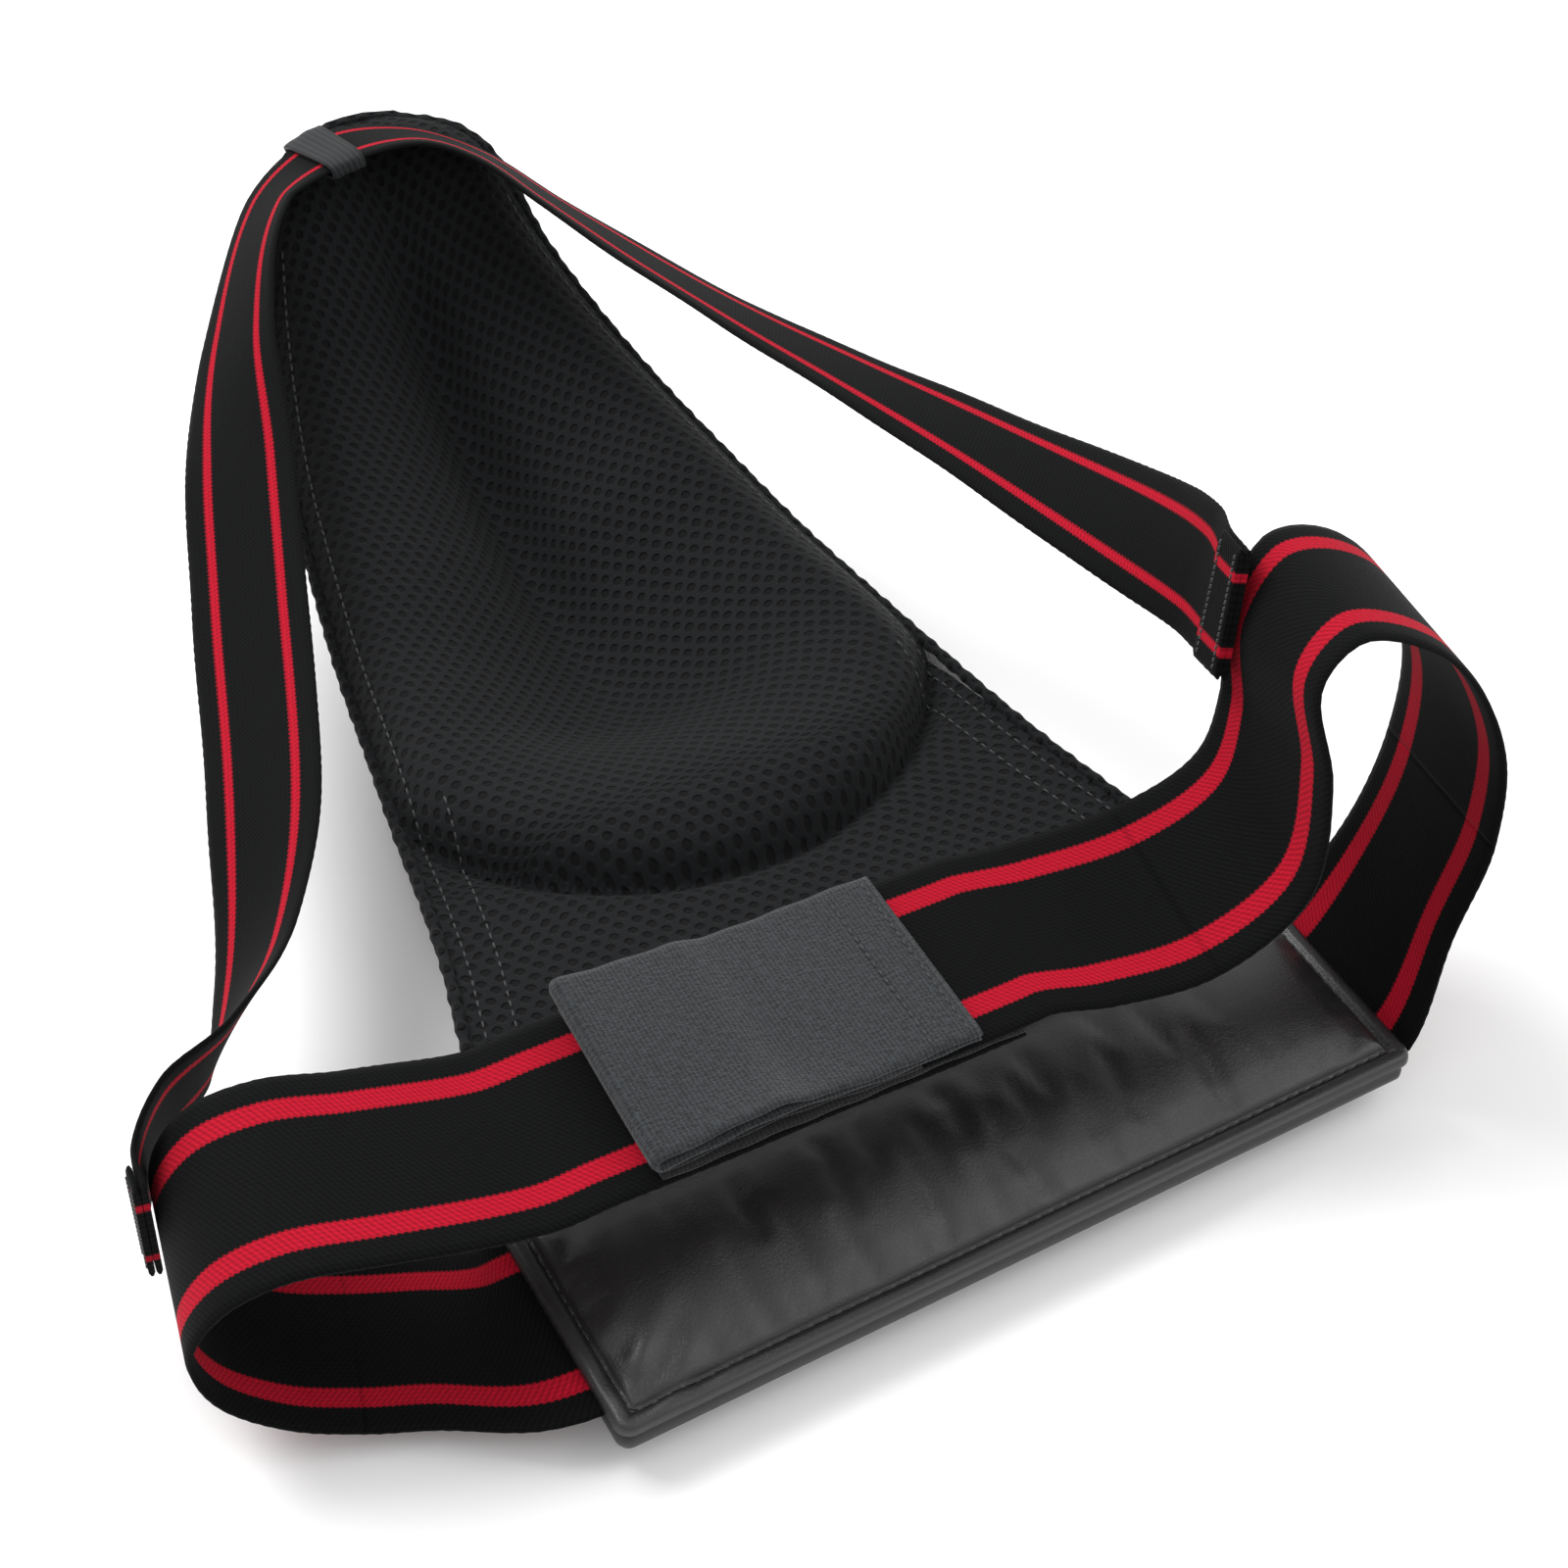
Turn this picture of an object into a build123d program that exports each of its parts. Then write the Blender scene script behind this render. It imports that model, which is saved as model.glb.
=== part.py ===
from build123d import *
import os

# Groin protector, lying on its outer side with the lined hollow up.
# Millimetres. X runs across the guard, Y from the waist pad to the crotch tip, Z up.
# The origin is in the middle of the flat that the guard rests on, under the cup.
# Y is counted from the waist pad's front edge while modelling, and shifted as each piece is saved.

# --- driving dimensions -------------------------------------------------------
rest_middle = 170.0         # pad front edge to the middle of the resting flat
guard_length = 362.0        # waist pad front edge to crotch tip
belt_width = 50.0           # waist belt webbing
belt_thickness = 1.6
leg_width = 30.0            # leg strap webbing
leg_thickness = 1.4
clearance = 0.4             # air between pieces that only lie on each other

pad_width = 205.0           # waist pad, left to right
pad_depth = 56.0            # waist pad, front edge to its seam with the flange
pad_thickness = 16.5
backing_thickness = 6.5     # padded backing under the pad's seam
pad_corner = 5.0
pad_front_height = 4.5      # underside of the pad's front edge above the table
pad_pitch = 5.0             # degrees that the pad's rear edge stands up
pad_yaw = 1.4               # degrees that the pad lies turned about Z
pad_shift = 3.0             # the pad lies this far to the right of the centre line
leather = 1.2               # PU leather
seam_width = 6.0            # turned edge outside the pad's stitch line
anchor_depth = 14.0         # belt end sewn inside the pad's seam
anchor_middle = 30.0        # middle of the belt end, from the pad's front edge
anchor_tail = 3.0           # sewn belt end that shows outside the pad
seam_tape_depth = 2.0       # strip that hinges the pad to the flange

cover_thickness = 1.2       # outer PU leather cover
cover_foam = 3.0            # foam between the cover and the shell
shell_thickness = 3.0       # hard plastic cup shell
lining_thickness = 2.0      # air mesh lining
flange_top = 26.0           # top of the flat mesh flange above the table
bowl_front = 122.0          # front of the padded rim, on the centre line
bowl_front_wing = 160.0     # how far back the rim's front line runs at its ends
bowl_front_half = 70.0      # half the width of the rim's front line

closure_length = 78.0       # grey tab, from its fold to its sewn edge
closure_origin = (-39.0, 51.0, 49.5)
closure_yaw = 0.0           # degrees about Z
closure_tilt = 4.5          # degrees that the rear edge stands up
patch_thickness = 1.4       # loop patch on the left belt
hook_thickness = 1.5        # hook strip under the tab
tab_thickness = 2.4         # two layers of loop tape
sewn_overlap = 14.0         # belt end sewn under the tab
belt_tail = 12.0            # left belt end that sticks out past the tab

keeper_web = 1.2
hem_radius = 1.8            # rolled hem between cover and lining
bartack_thickness = 0.6

# --- stations of the cup ------------------------------------------------------
# y as a share of guard_length: half width, edge height, rim crest, valley, underside
cup_stations = [
    (0.171, 98.0, 24.0, 26.0, 26.0, 12.0),
    (0.220, 94.0, 25.0, 26.0, 26.0, 5.0),
    (0.290, 88.0, 27.0, 28.0, 28.0, 0.5),
    (0.336, 84.0, 28.0, 34.0, 33.0, -0.5),
    (0.400, 80.0, 29.0, 39.0, 38.0, -0.5),
    (0.460, 77.0, 30.0, 40.0, 31.0, -0.5),
    (0.530, 73.0, 32.0, 41.0, 16.0, -0.5),
    (0.620, 68.0, 35.0, 43.0, 12.0, -0.5),
    (0.710, 62.0, 42.0, 50.0, 18.0, 3.0),
    (0.790, 56.0, 50.0, 58.0, 30.0, 12.0),
    (0.860, 49.0, 62.0, 70.0, 48.0, 26.0),
    (0.915, 42.0, 77.0, 86.0, 71.0, 45.0),
    (0.955, 34.0, 95.0, 102.0, 95.0, 68.0),
    (0.980, 25.0, 102.5, 106.5, 105.0, 86.0),
    (1.000, 11.0, 104.5, 106.5, 106.5, 97.0),
]
rim_inset = 15.0            # rim crest, in from the edge
shell_reach = 0.93          # share of the width that the shell and its foam cover
flange_reach = 0.88         # share of the width that the flange foam covers
cover_roundness = 2.6       # power of the cover's cross section
cup_sections = 32           # sections along the whole length
shell_end = 0.955           # share of the length where the shell and its foam stop

# --- routes of the webbing ----------------------------------------------------
# (centre of the strap), (direction across the strap)
belt_left_route = [
    ((-103.8, 30, 14.6), (-0.024, 1, 0.087)),
    ((-111.5, 34.5, 10), (0.14, 1, 0)),
    ((-124, 45, 5), (0.27, 1, -0.1)),
    ((-138, 51, 5.5), (0.28, 1, -0.1)),
    ((-152, 56.5, 9), (0.26, 1, -0.1)),
    ((-165, 62, 19), (0.2, 1, -0.08)),
    ((-169, 65, 35), (0.18, 1, 0.04)),
    ((-161, 63.5, 49), (0.22, 1, 0.12)),
    ((-147, 59.5, 55.5), (0.25, 1, 0.1)),
    ((-129, 54.5, 55), (0.2, 1, 0.06)),
]
belt_right_route = [
    ((33, 46, 55), (0.04, 1, 0.12)),
    ((56, 39, 61), (0.08, 1, 0.14)),
    ((74, 35, 76), (0.1, 1, 0)),
    ((79, 38, 97), (0.18, 1, -0.26)),
    ((80, 45, 117), (0.25, 1, -0.3)),
    ((91, 46, 129), (0.24, 1, -0.17)),
    ((111, 41, 121), (0.21, 1, -0.07)),
    ((126, 35, 95), (0.23, 1, -0.05)),
    ((128, 33, 67), (0.22, 1, -0.12)),
    ((122, 33, 41), (0.2, 1, -0.1)),
    ((109, 31, 15.2), (-0.024, 1, 0.087)),
]
leg_route = [
    ((-169.6, 73, 37), (0, 0.1, -1)),
    ((-167.5, 86, 38), (0, 0.1, -1)),
    ((-158, 99, 41), (-0.1, 0.2, -1)),
    ((-141, 108, 45), (-0.2, 0.35, -0.9)),
    ((-125, 130, 46), (-0.5, 0.5, -0.7)),
    ((-108, 167, 53), (-0.8, 0.45, -0.4)),
    ((-87, 230, 63), (-0.87, 0.43, -0.24)),
    ((-73, 271, 73), (-0.83, 0.5, -0.26)),
    ((-58, 309, 86), (-0.4, 0.76, -0.5)),
    ((-36, 339, 104.6), (-0.07, 0.9, -0.4)),
    ((-14, 345, 112.8), (0.03, 0.96, -0.2)),
    ((8, 343, 112.6), (0.15, 0.94, -0.3)),
    ((24, 333, 107.6), (0.36, 0.85, -0.4)),
    ((38, 316, 98), (0.6, 0.7, -0.5)),
    ((55, 286, 88.5), (0.8, 0.5, -0.5)),
    ((69, 254, 84), (0.88, 0.4, -0.4)),
    ((80, 226, 82.5), (0.92, 0.33, -0.25)),
    ((90, 190, 84), (0.94, 0.26, -0.05)),
    ((96, 148, 89.5), (0.9, 0.2, 0.25)),
    ((96, 112, 98), (0.72, 0.18, 0.6)),
    ((91, 86, 107), (0.45, 0.2, 0.85)),
    ((84.4, 70, 112.5), (0.28, 0.27, 0.9)),
    ((80.6, 58, 116), (0.25, 0.3, 0.9)),
]
keeper_at = 10              # the station of leg_route that the keeper holds
strap_steps = 6             # sections between two stations


def underside(station, inset, reach=1.0):
    """Lower curve of a cup section, `inset` inside the outer surface, over a share of the width."""
    share, half, edge, crest, valley, base = station
    steep = 1.0 + 1.3 * max(0.0, share - 0.70) / 0.30
    rise = inset * steep
    span = max(half - inset, 4.0)
    points = []
    for mark in (-1.0, -0.88, -0.68, -0.38, 0.0, 0.38, 0.68, 0.88, 1.0):
        t = mark * reach
        z = base + rise + (edge - base - rise) * abs(t) ** cover_roundness
        points.append(Vector(t * span, share * guard_length, z))
    return points


def topside(station, inset):
    """Upper curve of a cup section over the rim and down into the bowl, `inset` below it."""
    share, half, edge, crest, valley, base = station
    span = half - inset
    ridge = min(rim_inset, half * 0.45)
    crest_at = (half - ridge) / half
    mid_at = crest_at * 0.66
    low_at = crest_at * 0.32
    mid = valley + (crest - valley) * 0.62
    low = valley + (crest - valley) * 0.16
    half_curve = [(1.0, edge + 0.2, 0.0), (0.5 + 0.5 * crest_at, crest - 0.30 * (crest - edge), 0.6),
                  (crest_at, crest, 1.0), (mid_at, mid, 1.0), (low_at, low, 1.0)]
    y = share * guard_length
    points = [Vector(-t * span, y, z - inset * drop) for t, z, drop in half_curve]
    points.append(Vector(0, y, valley - inset))
    points += [Vector(t * span, y, z - inset * drop) for t, z, drop in reversed(half_curve)]
    return points


def station_at(share):
    """A station between the listed ones, on a smooth curve through them."""
    index = 0
    while index < len(cup_stations) - 2 and cup_stations[index + 1][0] < share:
        index += 1
    here, there = cup_stations[index], cup_stations[index + 1]
    before = cup_stations[max(index - 1, 0)]
    after = cup_stations[min(index + 2, len(cup_stations) - 1)]
    width = there[0] - here[0]
    t = (share - here[0]) / width
    values = [share]
    for a, b, c, d in list(zip(before, here, there, after))[1:]:
        start = (c - a) / (there[0] - before[0]) * width
        end = (d - b) / (after[0] - here[0]) * width
        values.append(b * (2 * t ** 3 - 3 * t ** 2 + 1) + start * (t ** 3 - 2 * t ** 2 + t)
                      + c * (3 * t ** 2 - 2 * t ** 3) + end * (t ** 3 - t ** 2))
    return tuple(values)


def layer(upper, lower, first, last):
    """A closed skin between two families of section curves, from one share of the length to another."""
    sections = []
    count = round((last - first) * cup_sections)
    for step in range(count + 1):
        station = station_at(first + (last - first) * step / count)
        top = upper(station)
        bottom = lower(station)
        sections.append(Face(Wire([
            Spline(*top), Line(top[-1], bottom[-1]),
            Spline(*reversed(bottom)), Line(bottom[0], top[0])])))
    return loft(sections, ruled=True)


def bowl_region(gap):
    """Everything behind the rim's front line, which curves back at both ends."""
    wing = bowl_front_wing + gap
    front = ThreePointArc((-bowl_front_half, wing), (0, bowl_front + gap), (bowl_front_half, wing))
    reach = bowl_front_half + 60
    outline = Polyline((bowl_front_half, wing), (reach, wing + 12), (reach, guard_length + 20),
                       (-reach, guard_length + 20), (-reach, wing + 12), (-bowl_front_half, wing))
    return extrude(make_face([front, outline]), amount=200).translate((0, 0, -20))


def strap(route, width, thickness, span=None, lift=0.0, squared=True):
    """Webbing along a route: rectangles across a smooth line, `lift` off its middle surface.

    `span` is the first and last station, which may lie between two of the route's points. Squared
    webbing crosses its line at a right angle; otherwise it is sheared to the directions listed.
    """
    centres = [Vector(*centre) for centre, across in route]
    line = Spline(*centres)
    marks = [0.0]
    for a, b in zip(centres, centres[1:]):
        marks.append(marks[-1] + (b - a).length)
    first, last = span or (0, len(route) - 1)
    count = max(2, round((last - first) * strap_steps))
    sections = []
    for step in range(count + 1):
        station = first + (last - first) * step / count
        index = min(int(station), len(route) - 2)
        blend = station - index
        share = (marks[index] * (1 - blend) + marks[index + 1] * blend) / marks[-1]
        across = Vector(*route[index][1]) * (1 - blend) + Vector(*route[index + 1][1]) * blend
        along = line % share
        if squared:
            across = (across - along * across.dot(along)).normalized()
        else:
            across = across.normalized()
            along = (along - across * along.dot(across)).normalized()
        place = Plane(origin=line @ share, x_dir=across, z_dir=along)
        sections.append(place * Pos(0, lift) * Rectangle(width, thickness))
    return loft(sections, ruled=True)


def save(name, shape):
    shape = Pos(0, -rest_middle, 0) * shape
    shape.label = name
    export_step(shape, "parts/" + name + ".step")


os.makedirs("parts", exist_ok=True)

# --- cup: cover, foam, shell, rim padding, lining ------------------------------
cover_in = cover_thickness
foam_out = cover_in + 2 * clearance
foam_in = foam_out + cover_foam
shell_out = foam_in + clearance
shell_in = shell_out + shell_thickness
padding_out = shell_in + clearance
padding_top = lining_thickness + 4 * clearance
bowl_first = 0.336
whole_bowl = bowl_region(0.0)
stuffed_bowl = bowl_region(lining_thickness + clearance)

outer_cover = layer(lambda s: underside(s, cover_in), lambda s: underside(s, 0.0), cup_stations[0][0], 1.0)
outer_cover &= Pos(0, 0, guard_length / 2) * Box(guard_length, 3 * guard_length, guard_length)
save("outer_cover", outer_cover)
shell_foam = layer(lambda s: underside(s, foam_in, shell_reach),
                   lambda s: underside(s, foam_out, shell_reach), bowl_first, shell_end)
save("shell_foam", shell_foam & stuffed_bowl)
cup_shell = layer(lambda s: underside(s, shell_in, shell_reach),
                  lambda s: underside(s, shell_out, shell_reach), bowl_first, shell_end)
save("cup_shell", cup_shell & stuffed_bowl)
rim_padding = layer(lambda s: topside(s, padding_top),
                    lambda s: underside(s, padding_out, shell_reach), bowl_first, shell_end)
save("rim_padding", rim_padding & stuffed_bowl)
bowl_lining = layer(lambda s: topside(s, 0.0), lambda s: topside(s, lining_thickness), bowl_first, 1.0)
save("bowl_lining", bowl_lining & whole_bowl)

# --- flange: flat mesh in front of the bowl, over a foam block -----------------
flange_span = [station for station in cup_stations if station[0] <= 0.46]
lining_low = flange_top - lining_thickness
foam_top = lining_low - clearance
sections = []
for station in flange_span:
    lower = underside(station, foam_out, flange_reach)
    right = Vector(lower[-1].X, lower[-1].Y, foam_top)
    left = Vector(lower[0].X, lower[0].Y, foam_top)
    sections.append(Face(Wire([Line(left, right), Line(right, lower[-1]),
                               Spline(*reversed(lower)), Line(lower[0], left)])))
save("flange_foam", loft(sections, ruled=True) - bowl_region(-clearance))


def lining_half(station):
    """Half width of the flange lining: it stops where the cover rises to its level."""
    share, half, edge, crest, valley, base = station
    climb = min(1.0, (lining_low - base) / (edge - base))
    return half * climb ** (1 / cover_roundness) - cover_thickness - 3 * clearance


right_side = [Vector(lining_half(s), s[0] * guard_length) for s in flange_span]
left_side = [Vector(-p.X, p.Y) for p in reversed(right_side)]
flange_outline = make_face(Polyline(*right_side, *left_side, close=True))
flange_lining = Pos(0, 0, lining_low) * extrude(flange_outline, amount=lining_thickness)
save("flange_lining", flange_lining - bowl_region(-clearance))

# hem that closes the cover against the lining along both sides and round the tip
hem_line = [Vector(station[1] + 0.2, station[0] * guard_length, station[2] + 0.1) for station in cup_stations]
hem_path = Spline(*hem_line)
hem_start = Plane(origin=hem_path @ 0, z_dir=hem_path % 0)
right_hem = sweep(hem_start * Circle(hem_radius), path=hem_path)
edge_hem = (right_hem + mirror(right_hem, about=Plane.YZ)) - outer_cover - bowl_lining

# --- waist pad ----------------------------------------------------------------
pad_place = Location((pad_shift, 0, pad_front_height), (pad_pitch, 0, pad_yaw))
seam_level = backing_thickness + clearance + belt_thickness / 2
foam_low = seam_level + belt_thickness / 2 + clearance


def pad_slab(margin, low, high):
    """A rounded slab of the pad's outline less `margin`, between two heights over its underside."""
    outline = RectangleRounded(pad_width - 2 * margin, pad_depth - 2 * margin, max(pad_corner - margin, 1.0))
    return Pos(0, pad_depth / 2, low) * extrude(outline, amount=high - low)


def belt_end(side, extra):
    """Belt end sewn into one end of the pad, `extra` larger all round."""
    length = anchor_depth + anchor_tail + 2 * extra
    middle = side * (pad_width / 2 + (anchor_tail - anchor_depth) / 2)
    return Pos(middle, anchor_middle, seam_level) * Box(
        length, belt_width + 2 * extra, belt_thickness + 2 * extra)


backing = pad_slab(0.0, 0.0, backing_thickness)
save("pad_backing", pad_place * fillet(backing.faces().sort_by(Axis.Z)[0].edges(), 2.5))
welt = pad_slab(0.0, backing_thickness + 0.1, foam_low - 0.1) - pad_slab(seam_width, 0.0, pad_thickness)
for side in (-1, 1):
    welt -= belt_end(side, clearance)
save("pad_welt", pad_place * welt)
save("pad_foam", pad_place * pad_slab(seam_width + clearance, foam_low, pad_thickness - leather - clearance))
facing = pad_slab(0.0, foam_low, pad_thickness)
facing = fillet(facing.faces().sort_by(Axis.Z)[-1].edges(), 3.0)
facing -= pad_slab(seam_width, 0.0, pad_thickness - leather)
save("pad_facing", pad_place * facing)
save("belt_anchor_left", pad_place * belt_end(-1, 0.0))
save("belt_anchor_right", pad_place * belt_end(1, 0.0))

tape = Box(2 * cup_stations[0][1] - 10, seam_tape_depth, belt_thickness)
save("seam_tape", pad_place * Pos(0, pad_depth + 2 * clearance + seam_tape_depth / 2, seam_level) * tape)

# --- waist belt and its closure -------------------------------------------------
closure_place = Location(closure_origin, (closure_tilt, 0, closure_yaw))
half_tab = closure_length / 2
fold_at = half_tab - sewn_overlap           # where the tab starts to lift
patch_low = belt_thickness + 0.2
hook_low = patch_low + patch_thickness + clearance
tab_low = hook_low + belt_thickness + 0.2
belt_join = half_tab + sewn_overlap         # where the sewn belt end meets the rest of the belt


def closure_plate(left, right, low, thickness):
    """A flat piece of the closure, between two places along the belt, at a height in the stack."""
    return closure_place * Pos((left + right) / 2, 0, low + thickness / 2) * Box(
        right - left, belt_width, thickness)


def on_closure(along, level):
    """A belt station in the closure's own plane."""
    centre = closure_place * Pos(along, 0, level)
    across = closure_place * Pos(along, 1, level)
    return tuple(centre.position), tuple(across.position - centre.position)


tail = half_tab + belt_tail
level_marks = (-62.0, -half_tab - 9.0, -half_tab, 0.0, tail)
left_stations = belt_left_route + [on_closure(x, belt_thickness / 2) for x in level_marks]
save("belt_left", strap(left_stations, belt_width, belt_thickness, squared=False))
save("loop_patch", closure_plate(-half_tab + 2, tail, patch_low, patch_thickness))
save("hook_strip", closure_plate(-half_tab + 2, fold_at - 0.3, hook_low, hook_thickness))
save("closure_tab", closure_plate(-half_tab, fold_at - 0.3, tab_low, tab_thickness))
save("tab_sewn_end", closure_plate(fold_at, half_tab, tab_low, tab_thickness))
save("belt_right_end", closure_plate(fold_at, belt_join - 1.0, hook_low, belt_thickness))
right_level = hook_low + belt_thickness / 2
right_stations = [on_closure(x, right_level) for x in (belt_join, belt_join + 5)] + belt_right_route
save("belt_right", strap(right_stations, belt_width, belt_thickness, squared=False))

# --- leg strap and its keeper ----------------------------------------------------
last = len(leg_route) - 1
save("leg_strap", strap(leg_route, leg_width, leg_thickness))
over_tip = strap(leg_route, leg_width + 2 * clearance, leg_thickness + 2 * clearance,
                 span=(keeper_at - 1.5, keeper_at + 1.5))
sleeve = (keeper_at - 0.28, keeper_at + 0.28)
sleeve_body = strap(leg_route, leg_width + 4 * clearance + 2 * keeper_web,
                    leg_thickness + 4 * clearance + 2 * keeper_web, span=sleeve)
keeper = sleeve_body - strap(leg_route, leg_width + 4 * clearance, leg_thickness + 4 * clearance,
                             span=(sleeve[0] - 0.05, sleeve[1] + 0.05))
save("keeper_loop", keeper)
save("edge_hem", edge_hem - sleeve_body - over_tip)
fold_lift = leg_thickness + 0.2
tack_lift = 1.5 * leg_thickness + bartack_thickness / 2 + 0.4
for name, ends, tacks in (("left", (0.0, 0.5), (0.08, 0.4)), ("right", (last - 1.0, last), (last - 0.9, last - 0.2))):
    save("leg_fold_" + name, strap(leg_route, leg_width, leg_thickness, span=ends, lift=fold_lift))
    rows = [strap(leg_route, leg_width - 3, bartack_thickness, span=(at, at + 0.1), lift=tack_lift)
            for at in tacks]
    save("bartack_" + name, Compound(children=rows))
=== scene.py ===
import math
import bmesh
import bpy
import numpy as np
from mathutils import Matrix, Vector


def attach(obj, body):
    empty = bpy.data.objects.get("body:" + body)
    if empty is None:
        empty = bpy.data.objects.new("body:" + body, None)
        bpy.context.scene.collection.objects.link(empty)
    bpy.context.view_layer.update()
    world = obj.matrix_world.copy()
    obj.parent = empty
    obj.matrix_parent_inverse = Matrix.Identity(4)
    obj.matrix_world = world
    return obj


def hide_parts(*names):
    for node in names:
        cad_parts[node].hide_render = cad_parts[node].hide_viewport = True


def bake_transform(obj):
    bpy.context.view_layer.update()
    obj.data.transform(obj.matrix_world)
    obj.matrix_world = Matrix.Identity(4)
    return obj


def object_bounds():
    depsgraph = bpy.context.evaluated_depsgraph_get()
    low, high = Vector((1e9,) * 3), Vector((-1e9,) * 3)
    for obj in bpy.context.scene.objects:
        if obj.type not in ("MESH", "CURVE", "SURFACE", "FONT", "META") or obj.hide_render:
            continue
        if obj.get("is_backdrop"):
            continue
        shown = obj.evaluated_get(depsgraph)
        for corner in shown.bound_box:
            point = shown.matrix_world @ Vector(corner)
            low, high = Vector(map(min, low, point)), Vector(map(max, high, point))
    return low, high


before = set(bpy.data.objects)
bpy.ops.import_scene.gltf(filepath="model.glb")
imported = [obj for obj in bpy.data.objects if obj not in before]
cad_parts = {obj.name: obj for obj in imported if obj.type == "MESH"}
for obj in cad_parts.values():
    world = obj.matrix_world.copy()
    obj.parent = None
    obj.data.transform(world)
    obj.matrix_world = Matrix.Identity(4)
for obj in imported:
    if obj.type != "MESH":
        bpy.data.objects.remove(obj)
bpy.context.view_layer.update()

# --- Cup body: foam pad over a hard cup, lined with air mesh ----------
# The stuffed body of the guard. Black air mesh is stretched over the flat flange, the fat
# foam roll that rims the bowl, and the bowl itself, which narrows to a channel at the tip.
# It is sewn down in a deep groove where the roll meets the flange.

guard_length = 362.0            # from the waist pad's front edge to the tip
origin_at = 170.0               # the frame's origin lies this far behind the pad's front edge
groove_middle, groove_radius = 35.5, 83.5    # the sewn groove in front of the rim is part of a circle

# y, half width, height of the edge, of the rim's crest, of the bowl's floor, of the underside (mm)
cup_sections = np.array([
    (-108.1, 98, 24, 26, 26, 12), (-90.4, 94, 25, 26, 26, 5), (-65.0, 88, 27, 28, 28, 0.5),
    (-48.4, 84, 28, 34, 33, -0.5), (-25.2, 80, 29, 39, 38, -0.5), (-3.5, 77, 30, 40, 31, -0.5),
    (21.9, 73, 32, 41, 16, -0.5), (54.4, 68, 35, 43, 12, -0.5), (87.0, 62, 42, 50, 18, 3),
    (116.0, 56, 50, 58, 30, 12), (141.3, 49, 62, 70, 48, 26), (161.2, 42, 77, 86, 71, 45),
    (175.7, 35, 97.5, 103.5, 96, 69), (184.8, 27, 105, 108.5, 107, 88), (193.5, 12, 108, 109.5, 109.5, 100)])


def curve_through(xs, ys, x):
    """Smooth values at x of the curve through the listed points."""
    xs, ys, x = np.asarray(xs, float), np.asarray(ys, float), np.asarray(x, float)
    i = np.clip(np.searchsorted(xs, x, side="right") - 1, 0, len(xs) - 2)
    before, after = np.maximum(i - 1, 0), np.minimum(i + 2, len(xs) - 1)
    width = xs[i + 1] - xs[i]
    t = (x - xs[i]) / width
    start = (ys[i + 1] - ys[before]) / (xs[i + 1] - xs[before]) * width
    end = (ys[after] - ys[i]) / (xs[after] - xs[i]) * width
    return (ys[i] * (2 * t**3 - 3 * t**2 + 1) + start * (t**3 - 2 * t**2 + t)
            + ys[i + 1] * (3 * t**2 - 2 * t**3) + end * (t**3 - t**2))


def grid_object(name, points, uv, closed_across=False, capped=False):
    """A mesh over rows of points in millimetres, with uv in metres."""
    points, uv = np.asarray(points, float) / 1000, np.asarray(uv, float)
    rows, columns = points.shape[:2]
    faces = []
    for r in range(rows - 1):
        for c in range(columns if closed_across else columns - 1):
            n = (c + 1) % columns
            faces.append((r * columns + c, r * columns + n, (r + 1) * columns + n, (r + 1) * columns + c))
    ends = 2 if capped else 0
    if capped:
        faces.append(tuple(reversed(range(columns))))
        faces.append(tuple(range((rows - 1) * columns, rows * columns)))
    mesh = bpy.data.meshes.new(name)
    mesh.from_pydata([tuple(p) for p in points.reshape(-1, 3)], [], faces)
    layer = mesh.uv_layers.new(name="UVMap")
    flat = uv.reshape(-1, 2)
    index = np.zeros(len(mesh.loops), np.int32)
    mesh.loops.foreach_get("vertex_index", index)
    layer.data.foreach_set("uv", flat[index].astype(np.float32).ravel())
    mesh.polygons.foreach_set("use_smooth", [True] * (len(mesh.polygons) - ends) + [False] * ends)
    mesh.update()
    piece = bpy.data.objects.new(name, mesh)
    bpy.context.scene.collection.objects.link(piece)
    return piece


def along_line(at, marks, values):
    """The values (one row for each mark) at places between the marks."""
    return np.stack([np.interp(at, marks, values[:, k]) for k in range(values.shape[1])], axis=-1)


def weld(piece, reach):
    """Joins a mesh's points that lie within `reach` metres of each other."""
    shape = bmesh.new()
    shape.from_mesh(piece.data)
    bmesh.ops.remove_doubles(shape, verts=shape.verts, dist=reach)
    shape.to_mesh(piece.data)
    shape.free()


def arc_lengths(points, axis):
    """Running length in metres along one direction of a grid of points."""
    steps = np.linalg.norm(np.diff(points, axis=axis), axis=2) / 1000
    start = np.zeros_like(np.take(steps, [0], axis=axis))
    return np.concatenate([start, np.cumsum(steps, axis=axis)], axis=axis)


def cup_floor(y, t, inset):
    """Points of the guard's rounded underside, `inset` inside the leather's outer face."""
    half, edge, base = (curve_through(cup_sections[:, 0], cup_sections[:, k], y) for k in (1, 2, 5))
    steep = 1.0 + 1.3 * np.clip((y + origin_at) / guard_length - 0.70, 0, None) / 0.30
    rise = inset * steep
    z = np.maximum(base + rise + (edge - base - rise) * np.abs(t) ** 2.6, 0.25 + inset)
    return np.stack([t * np.maximum(half - inset, 4.0), y, z], axis=-1)


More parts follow.
